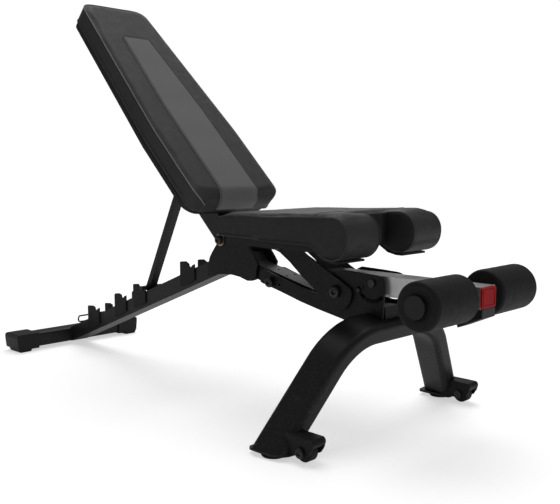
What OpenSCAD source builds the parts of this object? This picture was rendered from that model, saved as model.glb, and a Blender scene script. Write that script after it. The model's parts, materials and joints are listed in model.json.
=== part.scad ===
// Decline sit up bench: folding frame, stepped backrest ladder, foam leg brace

/* [Pivots] */
// Height of the backrest hub above the floor
hub_z = 353.5; // [330:0.5:380]
// Distance from bench centre forward to the hub
hub_x = 23; // [0:1:60]
// Hub to upper link bolt, along the bench
link_dx = 195.5; // [180:0.5:210]
// Hub to upper link bolt, upward
link_dz = 1; // [0:0.5:4]
// Fold bolt, along the bench
fold_x = 183.5; // [170:0.5:200]
// Fold bolt height
fold_z = 270; // [250:1:290]

/* [Backrest] */
// Backrest slope above the horizontal, degrees
back_angle = 44.3; // [20:0.1:80]
// Backrest pad length past the hub
back_len = 755; // [600:5:800]
// Backrest pad thickness
back_t = 51.2; // [40:0.2:60]
// Half width of the pad at its lower part
back_w = 134; // [110:1:150]
// Half width of the pad at its top
back_w_top = 103.5; // [90:1:134]
// Front face of the pad in front of the hub
back_off = 97.5; // [90:0.5:105]

/* [Strut] */
// Distance of the strut bolt from the hub
strut_s = 231; // [200:1:260]
// Strut length, bolt to foot pin
strut_len = 348.5; // [320:0.5:370]
// Strut slope above the horizontal, degrees
strut_angle = 63.3; // [50:0.1:80]
// Foot pin radius
foot_r = 6; // [4:0.5:7]

/* [Rear frame] */
// Slope of the rear beam, degrees
beam_angle = 21.61; // [15:0.01:28]
// Half width of the rear beam
beam_w = 27; // [20:0.5:27]
// Depth of the rear beam
beam_t = 39; // [30:0.5:45]
// Length of the stabilizer tube
stab_len = 388; // [360:2:480]
// Depth of the stabilizer tube
stab_d = 54; // [40:1:70]

/* [Seat] */
// Half width of the seat
seat_w = 156; // [130:1:170]
// Radius of the two front rolls
roll_r = 43.9; // [35:0.1:50]
// Half width of the gap between the rolls
notch_w = 55; // [40:1:70]

/* [Front frame] */
// Lean of the front leg, degrees
leg_lean = 13.2; // [5:0.1:20]
// Depth of the leg tube
leg_d = 72; // [50:1:80]
// Thickness of the leg tube
leg_t = 40; // [30:1:50]
// Half length of the leg's straight crossbar
leg_mid = 66.4; // [40:0.2:90]
// Bend radius of the leg on its centreline
leg_bend = 130; // [90:1:160]
// Slope of the legs above the horizontal, degrees
leg_slope = 55.7; // [50:0.1:80]

/* [Leg brace] */
// Radius of the foam rollers
foam_r = 44.6; // [35:0.1:50]
// Inner end of each foam roller
foam_in = 41; // [35:1:50]
// Outer end of each foam roller
foam_out = 171; // [140:1:190]
// Distance from bench centre to the roller axis
foam_x = 666.3; // [600:0.1:700]
// Height of the roller axis
foam_z = 290; // [270:1:310]

/* [Wheels] */
// Transport wheel radius
wheel_r = 19; // [15:0.5:22]
// Transport wheel axis, along the bench
wheel_x = 497; // [480:1:510]
// Transport wheel axis height
wheel_z = 22; // [19:0.5:26]

/* [Hidden] */
$fn = 64;
A = [hub_x, hub_z];
B = A + [link_dx, link_dz];
D = [fold_x, fold_z];
C = D + [link_dx, link_dz];
S = A + strut_s * [-cos(back_angle), sin(back_angle)];
N3 = S - strut_len * [cos(strut_angle), sin(strut_angle)];
latch = [467, 296];
slot_r = 35.5;
leg_x = 428;
handle = [-552, 101.8];
stab_x = -680;
// Puts the origin midway along the bench
centre_x = 4;
frame_c = "#26272b";
plate_c = "#2b2c30";
grey_c = "#4b4e54";
pad_c = "#3c3d40";
bolt_c = "#8d9096";
silver_c = "#c9ccd1";
// Notch centres of the ladder, rear to front
N = [[-517, 124], [-387, 174], N3, [-98, 284]];

function arc(c, r, a0, a1, n = 8) =
    [for (i = [0:n]) c + r * [cos(a0 + (a1 - a0) * i / n), sin(a0 + (a1 - a0) * i / n)]];
function rrect(w, h, r) = concat(
    arc([w / 2 - r, h / 2 - r], r, 0, 90), arc([r - w / 2, h / 2 - r], r, 90, 180),
    arc([r - w / 2, r - h / 2], r, 180, 270), arc([w / 2 - r, r - h / 2], r, 270, 360));

// Moves the bench so the origin is under its middle
module place() { translate([centre_x, 0, 0]) children(); }
// Copies its children to the other side
module both() { children(); mirror([0, 1, 0]) children(); }
// Upright plate from an x-z outline, between two distances from the centre plane
module plate(pts, y0, y1) {
    translate([0, y1, 0]) rotate([90, 0, 0]) linear_extrude(y1 - y0) polygon(pts);
}
// Round bar across the bench
module rod(p, r, y0, y1) {
    translate([p[0], y1, p[1]]) rotate([90, 0, 0]) cylinder(r = r, h = y1 - y0);
}
// Places children in the backrest frame: x forward of the hub, z up the back
module on_back() {
    translate([A[0], 0, A[1]]) rotate([0, back_angle - 90, 0]) children();
}
module box(x0, x1, y0, y1, z0, z1) {
    translate([x0, y0, z0]) cube([x1 - x0, y1 - y0, z1 - z0]);
}

// ---- front frame ----
module leg_section(cut) {
    polygon(rrect(leg_d - 2 * cut, leg_t - 2 * cut, max(12 - cut, 1)));
}
module leg_run(cut) {
    zc = 215;
    foot = 215;
    translate([leg_x, 0, 0]) rotate([0, leg_lean, 0]) translate([-0.7, 0, 0]) {
        translate([0, leg_mid, zc]) rotate([90, 0, 0]) linear_extrude(2 * leg_mid) leg_section(cut);
        both() {
            translate([0, leg_mid, zc - leg_bend]) rotate([0, -90, 0])
                rotate_extrude(angle = leg_slope, $fn = 96) translate([leg_bend, 0])
                    rotate([0, 0, 90]) leg_section(cut);
            translate([0, leg_mid + leg_bend * sin(leg_slope),
                       zc - leg_bend + leg_bend * cos(leg_slope)])
                rotate([-leg_slope - 90, 0, 0]) translate([0, 0, -0.01])
                    linear_extrude(foot) leg_section(cut);
        }
    }
}
module leg_solid() {
    difference() {
        leg_run(0);
        box(200, 700, -400, 400, -100, 12);
    }
}
module leg_arch() {
    color(frame_c) place() difference() {
        leg_solid();
        leg_run(2.5);
    }
}
module base_plates() {
    color(frame_c) place() both() difference() {
        translate([0, 0, 7]) linear_extrude(5)
            polygon(concat(arc([396, 252], 8, 180, 270), arc([462, 252], 8, 270, 360),
                           arc([438, 265], 32, 0, 90), arc([394, 287], 10, 90, 180)));
        translate([leg_x, 272, 0]) cylinder(r = 5.08, h = 30);
    }
}
module leveler() {
    translate([leg_x, 272, 0]) union() {
        cylinder(r1 = 21.6, r2 = 23.1, h = 2);
        translate([0, 0, 2]) cylinder(r = 23.1, h = 2.2);
        translate([0, 0, 4.2]) cylinder(r1 = 23.1, r2 = 20, h = 1.6);
        cylinder(r = 5, h = 11.6);
    }
}
module leveler_left() { color("#1d1d1f") place() leveler(); }
module leveler_right() { color("#1d1d1f") place() mirror([0, 1, 0]) leveler(); }
module wheel_brackets() {
    nose = arc([518, 42], 8, -30, 75);
    cheek = concat([[455, 14], [505, 14], [516, 20], [523, 31]], nose, [[500, 50], [455, 50]]);
    color(frame_c) place() both() difference() {
        union() {
            plate(cheek, 239.5, 243);
            plate(cheek, 271, 274.5);
            plate(concat([[455, 46.5], [500, 46.5], [514, 45], [521.5, 38], [522, 33.5]],
                         nose, [[500, 50], [455, 50]]), 242.5, 271.5);
        }
        leg_solid();
        rod([wheel_x, wheel_z], 5.5, 200, 300);
    }
}
module wheel_bolts() {
    color(bolt_c) place() both() {
        rod([wheel_x, wheel_z], 5.4, 237, 276);
        rod([wheel_x, wheel_z], 10, 274.6, 278.5);
        rod([wheel_x, wheel_z], 9, 235.5, 239.4);
    }
}
module wheel() {
    translate([wheel_x, 257.8, wheel_z]) rotate([90, 0, 0]) difference() {
        rotate_extrude() polygon([[4, -8], [9, -8], [9, -10.5], [wheel_r - 2, -10.5],
            [wheel_r, -8.5], [wheel_r, 8.5], [wheel_r - 2, 10.5], [9, 10.5], [9, 8], [4, 8]]);
        cylinder(r = 5.48, h = 40, center = true);
    }
}
module wheel_left() { color("#2a2a2c") place() wheel(); }
module wheel_right() { color("#2a2a2c") place() mirror([0, 1, 0]) wheel(); }
module front_side_plates() {
    color(plate_c) place() both() difference() {
        plate([[152, 266], [147, 275], [149, 288], [157, 295.5], [166, 295], [213, 281.5],
               [272, 268], [310, 261], [345, 254], [450, 254], [458, 226], [440, 205],
               [321, 226.5], [272, 236.7], [213, 251.7], [166, 262.3]], 28, 33);
        rod(D, 6.02, 20, 40);
        rod([209.5, 266.5], 3, 20, 40);
        leg_solid();
    }
}
module bracket_plates() {
    out = concat([[352, 250], [352, 300], [385, 316], [436, 314.7], [476, 312.9]],
                 arc([478, 295], 17.5, 75, 5), [[496.4, 266.5], [493, 222], [470, 200],
                 [440, 205], [400, 222]]);
    color(plate_c) place() both() difference() {
        plate(out, 33, 36.5);
        plate(concat(arc(latch, slot_r + 3.8, 200, 312, 24), arc(latch, slot_r - 3.8, 312, 200, 24)),
              30, 40);
        rod(latch + slot_r * [cos(312), sin(312)], 3.8, 30, 40);
        rod(latch + slot_r * [cos(200), sin(200)], 3.8, 30, 40);
        rod(latch, 5.05, 30, 40);
        rod(C, 6.02, 30, 40);
        translate([446, 34.8, 287]) cube([2.2, 6, 9], center = true);
        leg_solid();
    }
}
module saddle_box() {
    color(plate_c) place() difference() {
        box(452, 494, -28, 28, 218, 250);
        both() plate([[440, 254], [450, 254], [458, 226], [440, 205]], 26, 29);
        leg_solid();
    }
}
module fold_bolt() {
    color(bolt_c) place() {
        rod(D, 6, -40, 40);
        both() rod(D, 12, 33.1, 38);
        both() rod(D, 8.5, 38, 39.5);
    }
}
module link_bolts() {
    color(bolt_c) place() both() {
        rod(C, 6, 27, 46);
        rod(C, 10, 26.5, 32.8);
        rod(C, 13, 42.3, 46);
        rod(C, 8, 46, 47.5);
    }
}
// Side guides that carry the brace tube between the bracket plates
module brace_guides() {
    color("#333438") place() both() {
        box(392, 420, 25.4, 33, 264, 270.6);
        box(392, 420, 28.4, 33, 270.6, 311);
    }
}
module latch_levers() {
    pin = latch + slot_r * [cos(208), sin(208)];
    color(silver_c) place() both() {
        plate(concat(arc(latch, 8, -60, 118), arc(pin, 6, 118, 298)), 26.2, 28);
        rod(latch, 5, 26.2, 38);
        rod(latch, 8, 37, 40.5);
        rod(pin, 3.4, 26.2, 41);
    }
}

// ---- rear frame ----
module rear_beam() {
    slope = tan(beam_angle);
    zb = function(x) 160.1 + slope * (x + 272);
    h = beam_t / cos(beam_angle);
    len = 755;
    color(frame_c) place() difference() {
        translate([-668, 0, zb(-668)]) rotate([0, -beam_angle, 0]) union() {
            difference() {
                box(0, len, -beam_w, beam_w, 0, beam_t);
                box(3, len - 3, -beam_w + 2.5, beam_w - 2.5, 2.5, beam_t - 2.5);
            }
            box(60, len, -beam_w + 2.4, beam_w - 2.4, 18, 20.5);
        }
        box(-760, -600, -60, 60, -20, 8);
        stab_run(stab_len, stab_d, 40, 9);
        box(20, 80, -60, 60, 200, 400);
    }
}
module hub_gussets() {
    color(frame_c) place() both() difference() {
        plate([[3.7, 341.8], [-10.9, 324.2], [-21.9, 309], [-25.7, 296.7], [-30, 262], [-12, 265.7],
               [6, 269.8], [30.4, 272.9], [58, 273.6], [82, 271.2], [108.5, 264.6],
               [122.2, 265.9], [133.6, 269.3], [138.6, 297], [141.9, 306.3], [132.2, 319],
               [117.7, 336], [101.4, 358.8], [10, 360], [6, 352]], 27, 33);
        rod(A, 7.02, 20, 40);
    }
}
// Box tongue that joins the gussets to the fold bolt and runs on between the side plates
module rear_tongue() {
    color(grey_c) place() difference() {
        union() {
            plate([[60, 320.2], [158, 297.6], [308, 263], [301, 232], [151, 266.4], [118, 272],
                   [60, 285]], -23, 23);
            plate([[54, 326], [98, 326], [118, 306], [118, 285], [60, 290], [50, 300]], -26.9, 26.9);
        }
        plate([[130, 300.8], [303.8, 260.7], [298.3, 235.8], [152, 269.6], [130, 273]], -20, 20);
        rod(D, 6.08, -40, 40);
        translate([176, 0, 280]) cylinder(r = 3, h = 30);
        for (y = [-13, 13]) translate([214, y, 270]) cylinder(r = 3, h = 30);
    }
}
function tooth(i) =
    let (n = N[i], x0 = i == 0 ? -559 : i == 1 ? -425 : i == 2 ? -337.5 : -138,
         top = i == 0 ? 126.5 : i == 1 ? 178.5 : i == 2 ? 211.5 : 288.5,
         lip = i == 3 ? 12 : 11, low = i == 1 ? 2 : 0,
         zb = 160.1 + 0.3961 * (n[0] + 272))
    concat([[x0, zb - 0.3961 * (n[0] - x0) + 12], [x0, top - 2 - 2 * low],
            [x0 + 3 + low, top - low]],
           [[n[0] - foot_r - lip, top + 2 - low], [n[0] - foot_r - 2.4, n[1] + 2]],
           arc(n, foot_r + 0.6, 170, 345),
           [[n[0] + 15, n[1] + 2], [n[0] + 15, zb + 18], [n[0] - 8, zb + 6]]);
module ladder_plates() {
    color(plate_c) place() both() difference() {
        for (i = [0:3]) plate(tooth(i), 27, 30.5);
        rod(handle, 3.26, 20, 40);
    }
}
module stab_sec(d, h, r) { polygon(rrect(d, h, r)); }
module stab_run(len, d, h, r) {
    translate([stab_x, len / 2, 28]) rotate([90, 0, 0]) linear_extrude(len) stab_sec(d, h, r);
}
module stabilizer_tube() {
    color(frame_c) place() difference() {
        stab_run(stab_len, stab_d, 40, 9);
        stab_run(stab_len + 10, stab_d - 5, 35, 6.5);
    }
}
module stabilizer_caps() {
    color("#1c1c1e") place() both() difference() {
        union() {
            translate([stab_x - 4, 0, 0]) rotate([90, 0, 90]) linear_extrude(70, center = true)
                polygon([[136, 6], [160, 6], [162, 0], [194, 0], [201, 12], [204, 40], [203, 47],
                         [198, 50], [136, 50]]);
        }
        stab_run(stab_len + 0.1, stab_d, 40, 9);
        box(stab_x - 50, stab_x - 26, 130, 220, -1, 9);
    }
}
module hub_bolt() {
    color(bolt_c) place() {
        rod(A, 7, -43, 43);
        both() rod(A, 11, 40, 43.5);
        both() rod(A, 7, 43.5, 45.5);
    }
}
module hub_washers() {
    color("#b09a5c") place() both() difference() {
        rod(A, 14.5, 37.8, 39.9);
        rod(A, 7.02, 30, 45);
    }
}
module rear_handle() {
    color(frame_c) place() union() {
        both() plate([[-551, 104.5], [-617, 90.3], [-623.4, 84], [-623.4, 69.5],
            [-618.6, 69.5], [-614.5, 84.6], [-552.6, 99.4]], 21.5, 26.5);
        rod(handle, 3.2, -33, 33);
        rod([-621, 69.5], 2.9, -24, 24);
    }
}

// ---- backrest ----
module pivot_sleeve() {
    color(grey_c) place() difference() { rod(A, 11, -26, 26); rod(A, 7.06, -30, 30); }
}
module back_channel() {
    color(frame_c) place() on_back() difference() {
        union() {
            box(-25, 25, -25, 25, 0, 450);
            rotate([90, 0, 0]) cylinder(r = 22, h = 50, center = true);
        }
        box(-30, 22, -22, 22, 24, 460);
        rotate([90, 0, 0]) cylinder(r = 11.06, h = 60, center = true);
        box(-30, 22.5, -21.9, 21.9, -30, 30);
        translate([0, 0, strut_s]) rotate([90, 0, 0]) cylinder(r = 5.02, h = 60, center = true);
    }
    color(frame_c) place() on_back() difference() {
        for (z = [90, 400]) box(25, 34, -60, 60, z, z + 40);
        for (z = [110, 420], y = [-48, 48]) translate([20, y, z]) rotate([0, 90, 0])
            cylinder(r = 3.1, h = 30);
    }
}
module back_plan(cut, z0, r) {
    w0 = back_w - cut;
    w1 = back_w_top - cut;
    L = back_len - cut;
    polygon(concat(arc([z0 + r, r - w0], r, 180, 270), [[272, -w0]], arc([L - 33, -w1 + 33], 33, -90, 0), arc([L - 33, w1 - 33], 33, 0, 90),
        [[272, w0]], arc([z0 + r, w0 - r], r, 90, 180)));
}
module back_pad() {
    f = back_off;
    color(pad_c) place() on_back() intersection() {
        translate([f - back_t, 0, 0]) rotate([0, 90, 0]) rotate([0, 0, 180])
            linear_extrude(back_t) back_plan(0, 40, 38);
        rotate([90, 0, 0]) linear_extrude(300, center = true)
            polygon(concat([[f - back_t, 760], [f - back_t, 50], [f - back_t + 4, 40.5]],
                           arc([f - 28, 68.2], 28, -90, 0, 8), [[f, 752], [f - 3, 760]]));
    }
}
module back_board() {
    f = back_off - back_t;
    color("#1b1b1d") place() on_back() difference() {
        translate([f - 12, 0, 0]) rotate([0, 90, 0]) rotate([0, 0, 180])
            linear_extrude(11.9) back_plan(4, 53, 36);
        for (z = [110, 420], y = [-48, 48]) translate([20, y, z]) rotate([0, 90, 0])
            cylinder(r = 3.1, h = 24);
    }
}
module back_screws() {
    color(bolt_c) place() on_back() for (z = [110, 420], y = [-48, 48]) translate([21, y, z])
        rotate([0, 90, 0]) union() {
            cylinder(r = 7, h = 3.9);
            cylinder(r = 3, h = 22);
        }
}
module strut_bolt() {
    color(bolt_c) place() {
        rod(S, 5, -29, 29);
        both() rod(S, 9, 25.1, 29);
    }
}
module strut_sleeve() {
    color(grey_c) place() difference() { rod(S, 8, -20, 20); rod(S, 5.06, -30, 30); }
}
module strut_bar() {
    a = strut_angle;
    color(frame_c) place() translate([S[0], 0, S[1]]) rotate([0, -a - 180, 0]) difference() {
        union() {
            box(0, strut_len, -11, 11, -7.5, 7.5);
            rotate([90, 0, 0]) cylinder(r = 12.5, h = 28, center = true);
            translate([strut_len, 0, 0]) rotate([90, 0, 0]) cylinder(r = 9, h = 22, center = true);
        }
        rotate([90, 0, 0]) cylinder(r = 8.05, h = 60, center = true);
        translate([strut_len, 0, 0]) rotate([90, 0, 0]) cylinder(r = foot_r, h = 60, center = true);
    }
}
module foot_pin() {
    color(silver_c) place() rod(N3, foot_r - 0.02, -33, 33);
}

// ---- seat ----
module seat_pad() {
    side = concat(arc([149, 384.5], 8, 180, 262, 4), [[405, 373], [418, 365.5],
        [436, 352.7], [452, 348.3]], [[460, 348]], arc([460, 391.5], roll_r, -86, 86, 20),
        [[460, 434.6], [290, 427.6], [160, 424.4]], arc([155, 410], 14, 92, 180, 5));
    color(pad_c) place() difference() {
        plate(side, -seat_w, seat_w);
        box(421, 520, -notch_w, notch_w, 300, 460);
    }
}
module seat_board() {
    color("#1b1b1d") place() difference() {
        union() {
            plate([[160, 363], [398, 360], [404, 363.5], [404, 372.9], [160, 375.6]], -143, 143);
            both() plate([[404, 363.5], [430, 347.2], [452, 342.6], [468, 342.6], [468, 347],
                [461, 347], [452, 347.9], [436, 352.4], [418, 365.2], [404, 372.9]], 62, 143);
        }
        for (x = [165, 185]) for (y = [-60, 60]) translate([x, y, 350]) cylinder(r = 3.1, h = 40);
        both() box(194, 300, 37.2, 42.4, 350, 380);
        both() rod(B, 12.6, 26.4, 48);
    }
}
module seat_side_plates() {
    color(plate_c) place() difference() {
        union() {
            both() plate(concat(arc(A, 14, 270, 120), [[60, 359], [118, 359], [155, 363],
                [250, 361.8], [250, 350]], arc(B, 14, -20, -90), [[199, 342.8], [130, 345.6],
                [60, 341]]), 33.5, 37);
            both() box(156, 193, 37, 72, 359.4, 362.5);
        }
        both() rod(A, 7.08, 20, 60);
        both() rod(B, 6.02, 20, 60);
        for (x = [165, 185]) for (y = [-60, 60]) translate([x, y, 340]) cylinder(r = 3.1, h = 40);
    }
}
module seat_screws() {
    color(bolt_c) place() for (x = [165, 185]) for (y = [-60, 60]) translate([x, y, 355.4]) union() {
        cylinder(r = 7, h = 4);
        cylinder(r = 3, h = 18);
    }
}
module seat_link_bolts() {
    color(bolt_c) place() both() {
        rod(B, 6, 28, 46);
        rod(B, 10, 27, 33.4);
        rod(B, 12, 42.4, 46);
        rod(B, 7.5, 46, 47.5);
    }
}
module link_plates() {
    color(plate_c) place() both() difference() {
        plate(concat(arc(C, 41, -145, 0, 16), [[418, 279], [407.5, 285.1], [389, 295.5],
            [370.4, 303.9], [345.9, 316.1], [321, 328.5], [299.9, 338.4], [269.8, 356.3],
            [245, 367]], arc(B, 16.5, 40, 225, 12), [[219.5, 339], [249.4, 320.4], [281.5, 295.4],
            [324.2, 266.9]]), 37.6, 42);
        rod(B, 6.08, 30, 50);
        rod(C, 6.08, 30, 50);
    }
}

// ---- leg brace ----
module brace_tube() {
    color(silver_c) place() difference() {
        box(335, 700, -25, 25, 271, 311);
        box(330, 710, -22.5, 22.5, 273.5, 308.5);
        rod([foam_x, foam_z], 12.52, -40, 40);
    }
}
module brace_plug() {
    color("#a81c24") place() union() {
        translate([689, 0, 291]) rotate([0, 90, 0]) linear_extrude(11) polygon(rrect(34.8, 44.8, 3));
        translate([700.05, 0, 291]) rotate([0, 90, 0]) linear_extrude(3)
            polygon(rrect(39, 49, 5));
    }
}
module brace_gusset() {
    color("#5d6066") place() union() {
        plate([[640, 270.9], [655, 236], [700, 256], [700, 270.9]], -4, 4);
        plate([[636, 270.9], [653, 232], [703, 254.5], [703, 270.9], [700, 270.9], [700, 257],
               [656, 237], [641, 270.9]], -22, 22);
    }
}
module roller_tube() {
    color(silver_c) place() difference() {
        rod([foam_x, foam_z], 12.5, -177, 177);
        rod([foam_x, foam_z], 10, -190, 190);
    }
}
module roller() {
    translate([foam_x, foam_out, foam_z]) rotate([90, 0, 0]) difference() {
        rotate_extrude() polygon(concat([[12, 0]], arc([foam_r - 6, 6], 6, -90, 0, 5),
            arc([foam_r - 6, foam_out - foam_in - 6], 6, 0, 90, 5), [[12, foam_out - foam_in]]));
        translate([0, 0, -5]) cylinder(r = 12.58, h = 200);
        translate([0, 0, -1]) cylinder(r = 21, h = 3);
    }
}
module foam_roller_left() { color("#17181a") place() roller(); }
module foam_roller_right() { color("#17181a") place() mirror([0, 1, 0]) roller(); }
module roller_caps() {
    color("#1b1b1d") place() both() union() {
        rod([foam_x, foam_z], 20.6, 177.05, 180);
        rod([foam_x, foam_z], 9.9, 160, 177.1);
    }
}

front_side_plates();
bracket_plates();
saddle_box();
leg_arch();
base_plates();
wheel_brackets();
wheel_bolts();
wheel_left();
wheel_right();
leveler_left();
leveler_right();
fold_bolt();
link_bolts();
brace_guides();
latch_levers();
rear_beam();
rear_tongue();
hub_gussets();
ladder_plates();
stabilizer_tube();
stabilizer_caps();
hub_bolt();
hub_washers();
rear_handle();
pivot_sleeve();
back_channel();
back_board();
back_pad();
back_screws();
strut_bolt();
strut_sleeve();
strut_bar();
foot_pin();
seat_pad();
seat_board();
seat_side_plates();
seat_screws();
seat_link_bolts();
link_plates();
brace_tube();
brace_plug();
brace_gusset();
roller_tube();
foam_roller_left();
foam_roller_right();
roller_caps();
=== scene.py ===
import bpy, bmesh, math, json
import numpy as np
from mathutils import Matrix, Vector, noise
from mathutils.bvhtree import BVHTree

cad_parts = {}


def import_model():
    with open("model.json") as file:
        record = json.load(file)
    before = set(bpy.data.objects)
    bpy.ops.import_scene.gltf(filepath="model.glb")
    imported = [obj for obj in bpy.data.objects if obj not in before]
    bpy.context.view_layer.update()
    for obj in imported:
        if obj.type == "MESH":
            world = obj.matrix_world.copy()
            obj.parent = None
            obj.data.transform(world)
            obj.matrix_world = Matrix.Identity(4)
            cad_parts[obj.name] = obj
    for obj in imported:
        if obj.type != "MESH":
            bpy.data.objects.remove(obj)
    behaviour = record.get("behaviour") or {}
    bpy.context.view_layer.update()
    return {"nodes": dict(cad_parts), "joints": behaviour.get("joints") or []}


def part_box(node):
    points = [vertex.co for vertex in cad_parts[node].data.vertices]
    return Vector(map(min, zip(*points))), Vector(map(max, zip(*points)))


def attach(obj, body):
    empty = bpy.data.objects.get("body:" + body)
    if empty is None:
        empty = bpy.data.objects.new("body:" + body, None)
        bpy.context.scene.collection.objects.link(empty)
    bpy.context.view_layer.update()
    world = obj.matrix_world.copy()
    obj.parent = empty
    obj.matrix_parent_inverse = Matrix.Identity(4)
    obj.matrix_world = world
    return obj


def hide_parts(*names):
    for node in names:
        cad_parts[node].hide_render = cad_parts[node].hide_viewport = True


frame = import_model()
nodes = frame["nodes"]
joints = {j["name"]: j for j in frame["joints"]}


# ---------------------------------------------------------------- materials
class Nodes:
    """Small helper round a material's node tree."""

    def __init__(self, name):
        self.mat = bpy.data.materials.new(name)
        self.mat.use_nodes = True
        self.t = self.mat.node_tree
        self.p = self.t.nodes["Principled BSDF"]
        self.co = self.add("ShaderNodeTexCoord").outputs["Object"]

    def add(self, kind, **props):
        n = self.t.nodes.new(kind)
        for k, v in props.items():
            setattr(n, k, v)
        return n

    def link(self, a, b):
        self.t.links.new(a, b)

    def noise(self, scale, detail=3.0, rough=0.55, distort=0.0, stretch=None):
        n = self.add("ShaderNodeTexNoise")
        n.inputs["Scale"].default_value = scale
        n.inputs["Detail"].default_value = detail
        n.inputs["Roughness"].default_value = rough
        n.inputs["Distortion"].default_value = distort
        co = self.co
        if stretch:
            m = self.add("ShaderNodeMapping")
            m.inputs["Scale"].default_value = stretch
            self.link(co, m.inputs["Vector"])
            co = m.outputs["Vector"]
        self.link(co, n.inputs["Vector"])
        return n.outputs["Fac"]

    def voronoi(self, scale, feature="F1"):
        v = self.add("ShaderNodeTexVoronoi", feature=feature)
        v.inputs["Scale"].default_value = scale
        self.link(self.co, v.inputs["Vector"])
        return v.outputs["Distance"]

    def ramp(self, fac, stops):
        r = self.add("ShaderNodeValToRGB")
        e = r.color_ramp.elements
        while len(e) < len(stops):
            e.new(0.5)
        for el, (pos, col) in zip(e, stops):
            el.position = pos
            el.color = tuple(col) + (1,) if len(col) == 3 else col
        self.link(fac, r.inputs["Fac"])
        return r.outputs["Color"]

    def span(self, fac, lo, hi, a=0.3, b=0.7):
        m = self.add("ShaderNodeMapRange")
        m.inputs["From Min"].default_value = a
        m.inputs["From Max"].default_value = b
        m.inputs["To Min"].default_value = lo
        m.inputs["To Max"].default_value = hi
        self.link(fac, m.inputs["Value"])
        return m.outputs["Result"]

    def mix(self, fac, a, b):
        m = self.add("ShaderNodeMix", data_type="RGBA")
        self.link(fac, m.inputs["Factor"])
        self.link(a, m.inputs["A"])
        self.link(b, m.inputs["B"])
        return m.outputs["Result"]

    def math(self, op, a, b):
        m = self.add("ShaderNodeMath", operation=op)
        for s, v in zip(m.inputs, (a, b)):
            if isinstance(v, (int, float)):
                s.default_value = v
            else:
                self.link(v, s)
        return m.outputs["Value"]

    def bump(self, height, dist, strength=1.0, under=None):
        b = self.add("ShaderNodeBump")
        b.inputs["Distance"].default_value = dist
        b.inputs["Strength"].default_value = strength
        self.link(height, b.inputs["Height"])
        if under is not None:
            self.link(under, b.inputs["Normal"])
        return b.outputs["Normal"]

    def rounded(self, radius):
        b = self.add("ShaderNodeBevel")
        b.samples = 4
        b.inputs["Radius"].default_value = radius
        return b.outputs["Normal"]

    def done(self, color=None, rough=None, normal=None, **sockets):
        if color is not None:
            self.link(color, self.p.inputs["Base Color"])
        if rough is not None:
            self.link(rough, self.p.inputs["Roughness"])
        if normal is not None:
            self.link(normal, self.p.inputs["Normal"])
        for k, v in sockets.items():
            self.p.inputs[k.replace("_", " ")].default_value = v
        return self.mat


def grey(v, warm=0.0):
    return (v * (1 + warm), v, v * (1 - warm))


def powder_coat(name, base, rough=0.42, seed=1.0, spec=0.26):
    m = Nodes(name)
    big = m.noise(9 * seed, 4, 0.6)
    fine = m.noise(950, 2, 0.5)
    col = m.ramp(big, [(0.3, grey(base * 0.9)), (0.7, grey(base * 1.12, -0.02))])
    # painted highlight: convex edges (high pointiness) get a lighter colour, broken up by noise, standing in
    # for light caught by the edges
    edge = m.add("ShaderNodeNewGeometry").outputs["Pointiness"]
    edge_highlight_mask = m.ramp(edge, [(0.53, (0, 0, 0)), (0.60, (1, 1, 1))])
    broken_edge_highlight = m.math("MULTIPLY", m.span(m.noise(160, 3, 0.7), 0.0, 0.5, 0.5, 0.75), edge_highlight_mask)
    # lighter colour of the painted edge highlight
    light = m.ramp(big, [(0.0, grey(base * 3.2)), (1.0, grey(base * 4.0))])
    col = m.mix(broken_edge_highlight, col, light)
    peel = m.bump(m.noise(330, 2, 0.5), 0.00018, 0.2, m.rounded(0.0012))
    return m.done(col, m.span(fine, rough - 0.06, rough + 0.08), m.bump(fine, 0.00012, 0.5, peel),
                  Metallic=0.0, Specular_IOR_Level=spec)


def steel(name, base, rough, grain=(1, 1, 1), metallic=1.0, warm=0.0):
    m = Nodes(name)
    streak = m.noise(240, 4, 0.6, 0.0, grain)
    spots = m.noise(26, 5, 0.65)
    col = m.ramp(spots, [(0.3, grey(base * 0.86, warm)), (0.65, grey(base * 1.08, warm + 0.01))])
    return m.done(col, m.span(streak, rough - 0.07, rough + 0.1),
                  m.bump(streak, 0.0001, 0.35), Metallic=metallic)


def leather(name, base, rough=0.5, grain=420, spec=0.3):
    m = Nodes(name)
    cells = m.voronoi(grain, "DISTANCE_TO_EDGE")
    pebble = m.math("ADD", m.span(cells, 0.0, 1.0, 0.0, 0.22), m.noise(grain * 0.45, 3, 0.6))
    wrinkle = m.noise(34, 4, 0.6, 0.8)
    soil = m.noise(7, 4, 0.6)
    col = m.ramp(soil, [(0.3, grey(base * 0.88, 0.01)), (0.7, grey(base * 1.12))])
    # painted shade: the creases of the pebble grain are darkened in the colour
    dark = m.ramp(soil, [(0.0, grey(base * 0.62)), (1.0, grey(base * 0.7))])
    col = m.mix(m.span(cells, 0.55, 0.0, 0.0, 0.09), col, dark)
    soft = m.bump(wrinkle, 0.0012, 0.28)
    return m.done(col, m.span(m.noise(60, 4, 0.6), rough - 0.06, rough + 0.09),
                  m.bump(pebble, 0.00035, 0.5, soft), Specular_IOR_Level=spec)


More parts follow.
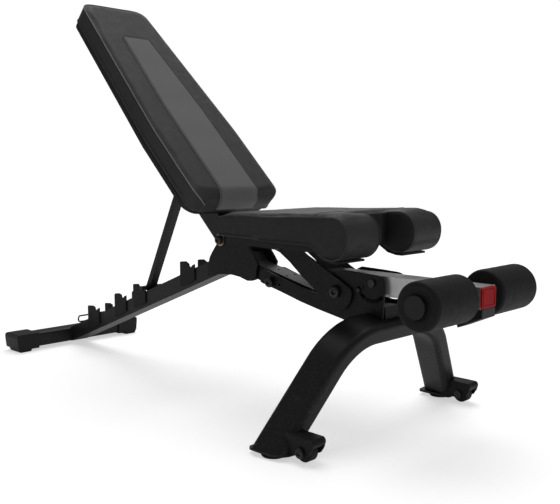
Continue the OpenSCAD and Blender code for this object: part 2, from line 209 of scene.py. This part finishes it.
def knit(name, base, pitch=620):
    m = Nodes(name)
    rot = m.add("ShaderNodeMapping")
    rot.inputs["Rotation"].default_value = (0, math.radians(-45.7), 0)
    m.link(m.co, rot.inputs["Vector"])
    hs = []
    for d in ("Y", "Z"):
        w = m.add("ShaderNodeTexWave", wave_type="BANDS", bands_direction=d)
        w.inputs["Scale"].default_value = pitch / 6.28
        w.inputs["Distortion"].default_value = 0.5
        w.inputs["Detail Scale"].default_value = 2.0
        m.link(rot.outputs["Vector"], w.inputs["Vector"])
        hs.append(w.outputs["Fac"])
    threads = m.span(m.math("MULTIPLY", *hs), 0.0, 0.25, 0, 1)
    weave = m.math("ADD", threads, m.span(m.noise(900, 2), 0.2, 0.75))
    tint = m.noise(11, 4, 0.6)
    col = m.mix(m.span(weave, 0.0, 1.0, 0.0, 0.6),
                m.ramp(tint, [(0.3, grey(base * 0.72)), (0.7, grey(base * 0.8))]),
                m.ramp(tint, [(0.3, grey(base * 1.02)), (0.7, grey(base * 1.14))]))
    return m.done(col, m.span(tint, 0.72, 0.84), m.bump(weave, 0.0004, 0.6),
                  Specular_IOR_Level=0.3, Sheen_Weight=0.12, Sheen_Roughness=0.5)


def foam(name, base):
    m = Nodes(name)
    pore = m.voronoi(900)
    tint = m.noise(16, 4, 0.6)
    col = m.ramp(tint, [(0.3, grey(base * 0.85)), (0.7, grey(base * 1.2))])
    soft = m.bump(m.noise(120, 4, 0.6), 0.0006, 0.35)
    return m.done(col, m.span(m.noise(70, 3), 0.6, 0.72), m.bump(pore, 0.0003, 0.4, soft),
                  Specular_IOR_Level=0.25, Sheen_Weight=0.03)


def plastic(name, color, rough, coat=0.0, bump=0.3, spec=0.3):
    m = Nodes(name)
    fine = m.noise(700, 2, 0.5)
    tint = m.noise(14, 3, 0.6)
    lo = tuple(c * 0.88 for c in color)
    hi = tuple(min(1, c * 1.1) for c in color)
    col = m.ramp(tint, [(0.3, lo), (0.7, hi)])
    return m.done(col, m.span(m.noise(90, 3), rough - 0.05, rough + 0.06),
                  m.bump(fine, 0.00012, bump), Coat_Weight=coat, Coat_Roughness=0.12,
                  Specular_IOR_Level=spec)


M = {
    "frame": powder_coat("frame_black", 0.0165, 0.44),
    "plate": powder_coat("plate_black", 0.0115, 0.46, 1.7, 0.17),
    "beam": powder_coat("beam_black", 0.014, 0.42, 1.3),
    "tongue": powder_coat("tongue_grey", 0.024, 0.4, 2.1, 0.2),
    "bolt": steel("bolt_dark", 0.05, 0.42, (1, 1, 1), 0.85),
    "gold": steel("washer_gold", 0.3, 0.3, (1, 1, 1), 0.9, 0.3),
    "silver": steel("silver_steel", 0.6, 0.36, (0.05, 1, 1), 0.75),
    "pad": leather("pad_leather", 0.040, 0.5),
    # painted light: the backrest face gets a lighter copy of the seat leather, standing in for the light
    # that falls on it
    "back_face": leather("back_face_lit_leather", 0.057, 0.5),
    # painted shade: darker copies of the face leathers for the sides, rear and underside of the pads, which
    # get less light
    "pad_side": leather("pad_shaded_side_leather", 0.022, 0.52),
    "back_shaded_side": leather("back_shaded_side_leather", 0.032, 0.52),
    "panel": knit("panel_knit", 0.197),
    "piping": leather("piping_vinyl", 0.24, 0.35, 600),
    "thread": knit("thread_grey", 0.05, 2400),
    "board": plastic("board_black", grey(0.010), 0.6),
    "foam": foam("foam_black", 0.0085),
    "cap": plastic("cap_black", grey(0.012), 0.5),
    "hub": plastic("hub_black", grey(0.012), 0.5),
    "red": plastic("plug_red", (0.36, 0.002, 0.005), 0.4, spec=0.1),
    "rubber": foam("rubber_black", 0.014),
}
NODE_MAT = {
    "stabilizer_tube": "frame", "leg_arch": "frame", "base_plates": "frame",
    "wheel_brackets": "plate", "hub_gussets": "plate", "back_channel": "frame",
    "strut_bar": "frame", "rear_beam": "beam", "rear_handle": "frame",
    "front_side_plates": "plate", "bracket_plates": "plate", "saddle_box": "plate",
    "ladder_plates": "plate", "link_plates": "plate", "seat_side_plates": "plate",
    "brace_guides": "cap", "rear_tongue": "tongue", "pivot_sleeve": "bolt",
    "strut_sleeve": "bolt", "brace_gusset": "tongue", "wheel_bolts": "bolt",
    "fold_bolt": "bolt", "link_bolts": "bolt", "hub_bolt": "bolt", "back_screws": "bolt",
    "strut_bolt": "bolt", "seat_screws": "bolt", "seat_link_bolts": "bolt",
    "hub_washers": "gold", "latch_levers": "bolt", "foot_pin": "bolt",
    "brace_tube": "silver", "roller_tube": "silver", "back_board": "board",
    "seat_board": "board", "stabilizer_caps": "cap", "roller_caps": "hub",
    "brace_plug": "red", "wheel_left": "rubber", "wheel_right": "rubber",
    "leveler_left": "rubber", "leveler_right": "rubber",
}
for name, key in NODE_MAT.items():
    ob = nodes[name]
    ob.data.materials.clear()
    ob.data.materials.append(M[key])


# ---------------------------------------------------------------- geometry helpers
def obj(name, verts, faces, mat, body, slot, smooth=True):
    me = bpy.data.meshes.new(name)
    me.from_pydata([tuple(v) for v in verts], [], faces)
    me.update()
    bm = bmesh.new()
    bm.from_mesh(me)
    bmesh.ops.recalc_face_normals(bm, faces=bm.faces)
    bm.to_mesh(me)
    bm.free()
    me.materials.append(M[mat])
    for p in me.polygons:
        p.use_smooth = smooth
    o = bpy.data.objects.new(name, me)
    bpy.context.scene.collection.objects.link(o)
    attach(o, body)
    return o


def rings(rows, closed_ends=True, cyclic=True):
    """Verts and faces of a skin over rows of equally many points."""
    n = len(rows[0])
    verts = [v for r in rows for v in r]
    faces = []
    for i in range(len(rows) - 1):
        for k in range(n if cyclic else n - 1):
            a, b = i * n + k, i * n + (k + 1) % n
            faces.append((a, b, b + n, a + n))
    if closed_ends:
        faces.append(tuple(range(n))[::-1])
        faces.append(tuple(range((len(rows) - 1) * n, len(rows) * n)))
    return verts, faces


def tube(path, r, sides=10, closed=False):
    pts = [Vector(p) for p in path]
    n = len(pts)
    rows, up = [], None
    for i, p in enumerate(pts):
        a = pts[(i - 1) % n] if closed or i else p
        b = pts[(i + 1) % n] if closed or i < n - 1 else p
        t = (b - a).normalized()
        if up is None:
            up = t.orthogonal().normalized()
        up = (up - t * up.dot(t)).normalized()
        side = t.cross(up)
        rows.append([p + r * (math.cos(q) * up + math.sin(q) * side)
                     for q in (2 * math.pi * k / sides for k in range(sides))])
    if closed:
        rows.append(rows[0])
    return rings(rows, not closed)


def join(parts):
    V, F = [], []
    for v, f in parts:
        o = len(V)
        V += list(v)
        F += [tuple(i + o for i in face) for face in f]
    return V, F


def head(c, side, r, h, socket=0.42, seg=48):
    """Domed bolt head with a hexagonal socket, its axis along side * Y."""
    c = Vector(c)

    def ring(rad, z, hexa=False):
        out = []
        for k in range(seg):
            q = 2 * math.pi * k / seg
            rr = rad / math.cos((q % (math.pi / 3)) - math.pi / 6) if hexa else rad
            out.append(c + Vector((rr * math.cos(q), side * z, rr * math.sin(q))))
        return out

    s = r * socket
    rows = [ring(r * 0.96, 0), ring(r, h * 0.08), ring(r, h * 0.35), ring(r * 0.97, h * 0.55),
            ring(r * 0.88, h * 0.78), ring(r * 0.72, h * 0.94), ring(s * 1.42, h),
            ring(s * 1.28, h), ring(s * 1.06, h * 0.96, True), ring(s, h * 0.9, True),
            ring(s, h * 0.25, True), ring(s * 0.3, h * 0.12)]
    return rings(rows)


# ---------------------------------------------------------------- soft goods
def evaluated(ob):
    dg = bpy.context.evaluated_depsgraph_get()
    dg.update()
    return bpy.data.meshes.new_from_object(ob.evaluated_get(dg))


def soft(node, name, body, slot, mats, rests, shrink=0.0025, cap=0.006, voxel=0.005, pressure=4.0,
         soften=2, to_flat=None, from_flat=None):
    """Cushion from a CAD pad: remeshed, taken in, blown up as cloth; the side at rests stays flat."""
    src = nodes[node]
    ob = bpy.data.objects.new(name, src.data.copy())
    bpy.context.scene.collection.objects.link(ob)
    if to_flat:  # remesh square to the sides, so that slanted edges come out straight
        for v in ob.data.vertices:
            v.co = to_flat(v.co)
    rm = ob.modifiers.new("remesh", "REMESH")
    rm.mode = "VOXEL"
    rm.voxel_size = voxel
    sm = ob.modifiers.new("soften", "SMOOTH")
    sm.factor = 0.5
    sm.iterations = soften
    me = evaluated(ob)
    ob.modifiers.clear()
    ob.data = me
    if from_flat:
        for v in me.vertices:
            v.co = from_flat(v.co)
        me.update()
    full = [v.co.copy() for v in me.vertices]
    nrm = [n.vector.copy() for n in me.vertex_normals]
    base = [p - n * (shrink if n.dot(rests) < 0.5 else 0.0004) for p, n in zip(full, nrm)]
    for v, p in zip(me.vertices, base):
        v.co = p
    cl = ob.modifiers.new("cloth", "CLOTH")
    st = cl.settings
    st.quality = 6
    st.mass = 0.35
    st.tension_stiffness = 18
    st.compression_stiffness = 18
    st.shear_stiffness = 8
    st.bending_stiffness = 1.5
    st.use_pressure = True
    st.uniform_pressure_force = pressure
    st.effector_weights.gravity = 0
    cl.collision_settings.use_collision = False
    sc = bpy.context.scene
    cl.point_cache.frame_start = 1
    cl.point_cache.frame_end = 20
    for f in range(1, 21):
        sc.frame_set(f)
    sim = evaluated(ob)
    ob.modifiers.clear()
    lift = np.array([(q.co - p).dot(n) for p, n, q in zip(base, nrm, sim.vertices)])
    ends = np.array([tuple(e.vertices) for e in me.edges])
    calm = lift.copy()
    for _ in range(14):  # the cover is taut, so small puckers of the cloth are pulled out
        total = np.zeros_like(calm)
        np.add.at(total, ends[:, 0], calm[ends[:, 1]])
        np.add.at(total, ends[:, 1], calm[ends[:, 0]])
        calm = 0.4 * calm + 0.6 * total / np.maximum(np.bincount(ends.ravel(), minlength=len(calm)), 1)
    lift = np.clip(0.9 * calm + 0.1 * lift, -0.001, cap)
    for v, p, n, d in zip(me.vertices, base, nrm, lift):
        v.co = p + n * (float(d) if n.dot(rests) < 0.5 else 0.0)
    bpy.data.meshes.remove(sim)
    sc.frame_set(1)
    me.materials.clear()
    for k in mats:
        me.materials.append(M[k])
    for p in me.polygons:
        p.use_smooth = True
    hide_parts(node)
    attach(ob, body)
    return ob


def bvh(ob):
    return BVHTree.FromPolygons([v.co for v in ob.data.vertices],
                                [tuple(p.vertices) for p in ob.data.polygons])


def snap(tree, pts, lift):
    out = []
    for p in pts:
        co, no, _, _ = tree.find_nearest(Vector(p))
        out.append(co + no * lift)
    return out


def even(path, step, closed=False):
    pts = [Vector(p) for p in path]
    if closed:
        pts.append(pts[0])
    out, carry = [pts[0]], 0.0
    for a, b in zip(pts, pts[1:]):
        d = (b - a).length
        t = step - carry
        while t <= d:
            out.append(a.lerp(b, t / d))
            t += step
        carry = d - (t - step)
    return out


def relax(pts, times=2, closed=False):
    for _ in range(times):
        n = len(pts)
        pts = [pts[i] if not closed and i in (0, n - 1) else
               (pts[i - 1] + pts[i] * 2 + pts[(i + 1) % n]) / 4 for i in range(n)]
    return pts


def stitches(tree, path, pitch=0.0055, length=0.0036, r=0.00055, lift=0.0004):
    parts = []
    pts = even(path, pitch)
    for a, b in zip(pts, pts[1:]):
        t = (b - a).normalized()
        mid = (a + b) / 2
        row = []
        for k in range(5):
            u = k / 4 - 0.5
            co, no, _, _ = tree.find_nearest(mid + t * u * length)
            row.append(co + no * (lift * (1 - 3 * u * u) + 0.0002))
        v, f = tube(row, r, 6)
        parts.append((v, f))
    return join(parts)


beta = math.radians(44.3)
up_back = Vector((-math.cos(beta), 0, math.sin(beta)))
out_back = Vector((math.sin(beta), 0, math.cos(beta)))
hub = Vector(joints["back_recline"]["pos_m"])
FACE, END, TOP = 0.0975, 0.040, 0.755  # face off the hub, lower end and top along the backrest
HALF, HALF_TOP = 0.134, 0.1035  # half width of the pad, below and at its top
TAPER_FROM, TAPER_RUN = 0.272, 0.45
ROLL, CORNER, TOP_CORNER = 0.028, 0.038, 0.033  # radii of the lower end roll and of the plan corners


def back_pt(s, y, off):
    return hub + up_back * s + out_back * off + Vector((0, y, 0))


def back_half(s):
    """Half width of the backrest pad at a distance up from the hub."""
    return HALF - (HALF - HALF_TOP) * min(max((s - TAPER_FROM) / TAPER_RUN, 0), 1)


def back_flat(p):
    """Point of the backrest in an untapered, square frame; not mirrored, so faces stay outward."""
    rel = p - hub
    s = rel.dot(up_back)
    return Vector((s, -rel.y * HALF / back_half(s), rel.dot(out_back)))


def back_unflat(q):
    return back_pt(q.x, -q.y * back_half(q.x) / HALF, q.z)


pad = soft("back_pad", "backrest_cushion", "backrest", "pad_leather", ["back_face", "back_shaded_side"],
           -out_back, to_flat=back_flat, from_flat=back_unflat)
# painted shade: faces turned away from the front of the backrest get the darker side copy
for p in pad.data.polygons:
    rel = p.center - hub
    if p.normal.dot(out_back) < 0.45 and rel.dot(up_back) > END + 0.006 or \
            p.normal.dot(out_back) < -0.2:
        p.material_index = 1
pad.modifiers.new("subdivide", "SUBSURF").levels = 1
pad.modifiers["subdivide"].render_levels = 1
pad_tree = bvh(pad)

# centre panel: follows the face, rolls over the lower end and tucks under it
PANEL_TUCK, PANEL_BEND, PANEL_RUN = 0.012, 0.044, 0.551
PANEL_HALF = [(0.04, 0.060), (0.13, 0.060), (0.35, 0.060), (0.42, 0.0555), (0.50, 0.050), (0.62, 0.0425)]
LONG_STEPS, CROSS_STEPS = 90, 32


def panel_line(d):
    """Distance up the backrest, offset from the hub and normal, a way d along the panel."""
    if d < 0:
        return END, FACE - ROLL + d, -up_back
    if d < PANEL_BEND:
        q = math.radians(-90) + (d / PANEL_BEND) * math.radians(90)
        nrm = (out_back * math.cos(q) + up_back * math.sin(q)).normalized()
        return END + ROLL - ROLL * math.sin(-q), FACE - ROLL + ROLL * math.cos(q), nrm
    return END + ROLL + d - PANEL_BEND, FACE, out_back


def panel_half(s):
    for (a, wa), (b, wb) in zip(PANEL_HALF, PANEL_HALF[1:]):
        if a <= s <= b:
            return wa + (wb - wa) * (s - a) / (b - a)
    return PANEL_HALF[0][1]


rows = []
for i in range(LONG_STEPS + 1):
    t = i / LONG_STEPS
    s, off, nrm = panel_line(t * (PANEL_TUCK + PANEL_BEND + PANEL_RUN) - PANEL_TUCK)
    row = []
    for k in range(CROSS_STEPS + 1):
        across = 2 * k / CROSS_STEPS - 1
        on_pad = back_pt(s, across * panel_half(s), off)
        hit = pad_tree.ray_cast(on_pad + nrm * 0.03, -nrm, 0.08)[0] or on_pad
        edge = min(1 - abs(across), 0.12) / 0.12 * min(1.0, (1 - t) * 22)
        row.append(hit + nrm * (0.0004 + 0.0016 * math.sin(edge * math.pi / 2)))
    rows.append(row)
v, f = rings(rows, False, False)
panel = obj("backrest_panel", v, f, "panel", "backrest", "pad_leather")
border = [r[0] for r in rows] + [p for p in rows[-1][1:-1]] + [r[-1] for r in rows[::-1]]
seam = relax(snap(pad_tree, even(border, 0.006), 0.0006), 2)
obj("panel_seam", *tube(seam, 0.0005, 8), "back_face", "backrest", "pad_leather")
inset = []
for p in even(border, 0.006):
    rel = p - hub
    below_top = rel.dot(up_back) < 0.612
    inset.append(p - (Vector((0, math.copysign(0.004, p.y), 0)) if below_top else up_back * 0.004))
panel_tree = bvh(panel)
obj("panel_stitches", *stitches(panel_tree, inset), "thread", "backrest", "pad_leather")

# piping along the front edges of the backrest
def end_edge(a):
    """Near edge of the pad on its lower roll, at an angle a round the roll."""
    s = 0.0682 - ROLL * math.sin(a)
    y = HALF - CORNER - 0.0015 + math.sqrt(max(CORNER ** 2 - max(END + CORNER - s, 0) ** 2, 0))
    return back_pt(s, -y, FACE - 0.0285 + 0.027 * math.cos(a))


INSET = 0.002  # the piping lies this far inside the edge
edge_path = [end_edge(math.radians(a)) for a in range(78, 0, -6)]
for s in [0.080 + (TOP - TOP_CORNER - 0.080) * k / 60 for k in range(61)]:
    edge_path.append(back_pt(s, -back_half(s) + INSET, FACE - INSET))
for k in range(1, 12):
    q = -math.pi / 2 + k * math.pi / 2 / 12
    edge_path.append(back_pt(TOP - TOP_CORNER + (TOP_CORNER - INSET) * math.cos(q),
                             -HALF_TOP + TOP_CORNER + (TOP_CORNER - INSET) * math.sin(q), FACE - INSET))
near_side = len(edge_path)
edge_path += [back_pt(TOP - INSET, y, FACE - INSET) for y in [-0.07 + 0.01 * k for k in range(15)]]
edge_path += [Vector((p.x, -p.y, p.z)) for p in edge_path[:near_side]][::-1]
pipe = relax(snap(pad_tree, even(edge_path, 0.006), 0.0004), 3)
obj("backrest_piping", *tube(pipe, 0.0014, 8), "piping", "backrest", "pad_leather")
# back-edge seam round the shell of the cushion
rim = []
for side in (-1, 1):
    line = [back_pt(s, side * (back_half(s) + 0.001), FACE - 0.040)
            for s in [0.09 + (TOP - 0.04 - 0.09) * k / 70 for k in range(71)]]
    rim.append(tube(relax(snap(pad_tree, line, 0.0002), 2), 0.0009, 6))
obj("backrest_side_seams", *join(rim), "pad", "backrest", "pad_leather")

# seat
cushion = soft("seat_pad", "seat_cushion", "seat", "pad_leather", ["pad", "pad_side"], Vector((0, 0, -1)))
# painted shade: sides, underside and rear of the seat get the darker side copy
for p in cushion.data.polygons:
    if abs(p.normal.y) > 0.6 or p.normal.z < -0.5 or p.normal.x < -0.6:
        p.material_index = 1
cushion.modifiers.new("subdivide", "SUBSURF").levels = 1
cushion.modifiers["subdivide"].render_levels = 1
seat_tree = bvh(cushion)
lo, hi = [Vector(c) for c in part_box("seat_pad")]
roll_r = 0.0439
roll = Vector((hi.x - roll_r, 0, lo.z + roll_r))
parts = []
for side in (-1, 1):
    y = side * (hi.y - 0.0015)
    loop = [(lo.x + 0.006, y, hi.z - 0.0125), (roll.x - 0.17, y, hi.z - 0.0085), (roll.x, y, hi.z - 0.002)]
    loop += [(roll.x + (roll_r - 0.002) * math.sin(a), y, roll.z + (roll_r - 0.002) * math.cos(a))
             for a in [math.radians(8 * k) for k in range(1, 27)]]
    path = relax(snap(seat_tree, even(loop, 0.006), 0.0003), 3)
    parts.append(tube(path, 0.0014, 8))
for side in (-1, 1):
    y = side * 0.0565
    loop = [(roll.x - 0.03, y, hi.z - 0.002)]
    loop += [(roll.x + (roll_r - 0.002) * math.sin(a), y, roll.z + (roll_r - 0.002) * math.cos(a))
             for a in [math.radians(8 * k) for k in range(0, 23)]]
    path = relax(snap(seat_tree, even(loop, 0.005), 0.0003), 3)
    parts.append(tube(path, 0.0014, 8))
obj("seat_piping", *join(parts), "pad", "seat", "pad_leather")
cross = []
for side in (-1, 1):
    line = [(roll.x - 0.045, side * y, hi.z - 0.001) for y in [0.056 + 0.0033 * k for k in range(30)]]
    cross.append(tube(relax(snap(seat_tree, line, 0.0), 1), 0.0008, 6))
obj("seat_roll_seams", *join(cross), "pad_side", "seat", "pad_leather")

# foam rollers
for tag, sgn in (("left", 1), ("right", -1)):
    node = "foam_roller_" + tag
    lo, hi = [Vector(c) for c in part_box(node)]
    c = (lo + hi) / 2
    R, half = (hi.z - lo.z) / 2, (hi.y - lo.y) / 2
    e = 0.007  # radius of the sleeve's outer edges
    turn = [math.radians(9 * k) for k in range(11)]
    dish = [(0.0127, 0.0045), (0.020, 0.0035), (0.0225, 0.001), (0.026, 0.0)]  # radius, depth
    prof = [(r, -half + depth) for r, depth in dish]
    prof += [(R - e + e * math.sin(q), -half + e - e * math.cos(q)) for q in turn]
    prof += [(R, -half + e + (2 * half - 2 * e) * k / 40) for k in range(1, 40)]
    prof += [(R - e + e * math.cos(q), half - e + e * math.sin(q)) for q in turn]
    prof += [(r, half - depth) for r, depth in dish[::-1]]
    rows = []
    for r, y in prof:
        row = []
        for k in range(128):
            q = 2 * math.pi * k / 128
            p = Vector((math.cos(q), 0, math.sin(q)))
            w = 0.0 if r < 0.03 else noise.noise(Vector((q * 3.0, y * 60, sgn * 7.3))) * 0.00025 - 0.0003
            row.append(c + p * (r + w) + Vector((0, y, 0)))
        rows.append(row)
    rows.append(rows[0])
    v, f = rings(rows, False)
    o = obj("foam_sleeve_" + tag, v, f, "foam", "roller_" + tag, "foam_black")
    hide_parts(node)

# wire handle
lo, hi = [Vector(c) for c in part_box("rear_handle")]
j = Vector(joints["handle_hinge"]["pos_m"])
y = 0.024
side = [(j.x, y, j.z), (j.x - 0.026, y, j.z - 0.0065), (lo.x + 0.011, y, lo.z + 0.0215),
        (lo.x + 0.006, y, lo.z + 0.019), (lo.x + 0.0035, y, lo.z + 0.0135), (lo.x + 0.0025, y, lo.z + 0.006),
        (lo.x + 0.0025, y - 0.002, lo.z + 0.003), (lo.x + 0.0025, y - 0.006, lo.z + 0.0023)]
path = side + [(x, -yy, z) for x, yy, z in side[::-1]]
bar = [(j.x, hi.y * k / 4, j.z) for k in range(-4, 5)]
loop = join([tube(relax(even(path, 0.003), 2), 0.0022, 12), tube(bar, 0.0024, 16)])
handle = obj("wire_handle", *loop, "frame", "handle", "frame_black")
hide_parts("rear_handle")

# raised rim on the square end plug of the leg brace
lo, hi = [Vector(c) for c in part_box("brace_plug")]
mid = (lo + hi) / 2
a, b = (hi.y - lo.y) / 2 - 0.005, (hi.z - lo.z) / 2 - 0.005
corners = [Vector((hi.x, mid.y + u * a, mid.z + w * b)) for u, w in ((-1, -1), (1, -1), (1, 1), (-1, 1))]
square = relax(even(corners, 0.002, True)[:-1], 1, True)
obj("plug_rim", *tube(square, 0.0009, 8, True), "red", "brace", "plug_red")

# bolt heads on the pivots
HEADS = [("hub_bolt", 0.0105, 0.004, "rear_frame"), ("fold_bolt", 0.0115, 0.004, "front_frame"),
         ("link_bolts", 0.0125, 0.004, "front_frame"), ("seat_link_bolts", 0.0118, 0.004, "seat"),
         ("wheel_bolts", 0.0096, 0.0032, "front_frame")]
for node, r, h, body in HEADS:
    lo, hi = [Vector(c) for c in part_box(node)]
    c = (lo + hi) / 2
    parts = [head((c.x, s * (hi.y - 0.0005), c.z), s, r, h) for s in (-1, 1)]
    obj(node + "_heads", *join(parts), "bolt", body, "bolt_dark")


# ---------------------------------------------------------------- stage
def area(name, loc, aim, size, power):
    d = bpy.data.lights.new(name, "AREA")
    d.shape = "RECTANGLE"
    d.size = size
    d.size_y = size
    d.energy = power
    o = bpy.data.objects.new(name, d)
    o.location = loc
    o.rotation_euler = (Vector(aim) - Vector(loc)).to_track_quat("-Z", "Y").to_euler()
    bpy.context.scene.collection.objects.link(o)


FLOOR_GLOW, FLOOR_SEEN = 0.15, 0.56  # light the floor gives off, and what the camera sees of it
WORLD_GLOW, WORLD_SEEN = 0.13, 1.02  # the same for the white backdrop
me = bpy.data.meshes.new("floor")
me.from_pydata([(-30, -30, 0), (30, -30, 0), (30, 30, 0), (-30, 30, 0)], [], [(0, 1, 2, 3)])
floor = bpy.data.objects.new("floor", me)
bpy.context.scene.collection.objects.link(floor)
fm = Nodes("floor_pale")
fm.p.inputs["Emission Color"].default_value = (1, 1, 1, 1)
fm.done(fm.ramp(fm.noise(0.8, 2), [(0.3, grey(0.93)), (0.7, grey(0.94))]), None, None, Roughness=0.9,
        Specular_IOR_Level=0.1)
fm.link(fm.span(fm.add("ShaderNodeLightPath").outputs["Is Camera Ray"], FLOOR_GLOW, FLOOR_SEEN, 0, 1),
        fm.p.inputs["Emission Strength"])
me.materials.append(fm.mat)

world = bpy.data.worlds.new("studio")
bpy.context.scene.world = world
world.use_nodes = True
wt = world.node_tree
bg = wt.nodes["Background"]
bg.inputs["Color"].default_value = (1, 1, 1, 1)
bg.inputs["Strength"].default_value = WORLD_GLOW
seen = wt.nodes.new("ShaderNodeBackground")
seen.inputs["Color"].default_value = (1, 1, 1, 1)
seen.inputs["Strength"].default_value = WORLD_SEEN
lp = wt.nodes.new("ShaderNodeLightPath")
mx = wt.nodes.new("ShaderNodeMixShader")
wt.links.new(lp.outputs["Is Camera Ray"], mx.inputs["Fac"])
wt.links.new(bg.outputs["Background"], mx.inputs[1])
wt.links.new(seen.outputs["Background"], mx.inputs[2])
wt.links.new(mx.outputs["Shader"], wt.nodes["World Output"].inputs["Surface"])

sun = bpy.data.lights.new("key_top", "SUN")
sun.energy = 1.2
sun.angle = math.radians(50)
so = bpy.data.objects.new("key_top", sun)
so.rotation_euler = Vector((0.3, -0.22, -1)).to_track_quat("-Z", "Y").to_euler()
bpy.context.scene.collection.objects.link(so)
area("fill_right", (2.8, 0.6, 1.6), (0, 0, 0.3), 1.6, 8)
area("rim_back", (-1.8, 2.2, 1.8), (0, 0, 0.5), 1.6, 10)

cam = bpy.data.cameras.new("camera")
cam.lens = 52.277
cam.sensor_width = 36
cam.clip_end = 100
co = bpy.data.objects.new("camera", cam)
co.location = (1.4431, -1.2948, 0.5294)
co.rotation_euler = (math.radians(90 - 6.19113), 0, math.radians(44.20755))
bpy.context.scene.collection.objects.link(co)
bpy.context.scene.camera = co
bpy.context.scene.view_settings.view_transform = "Standard"
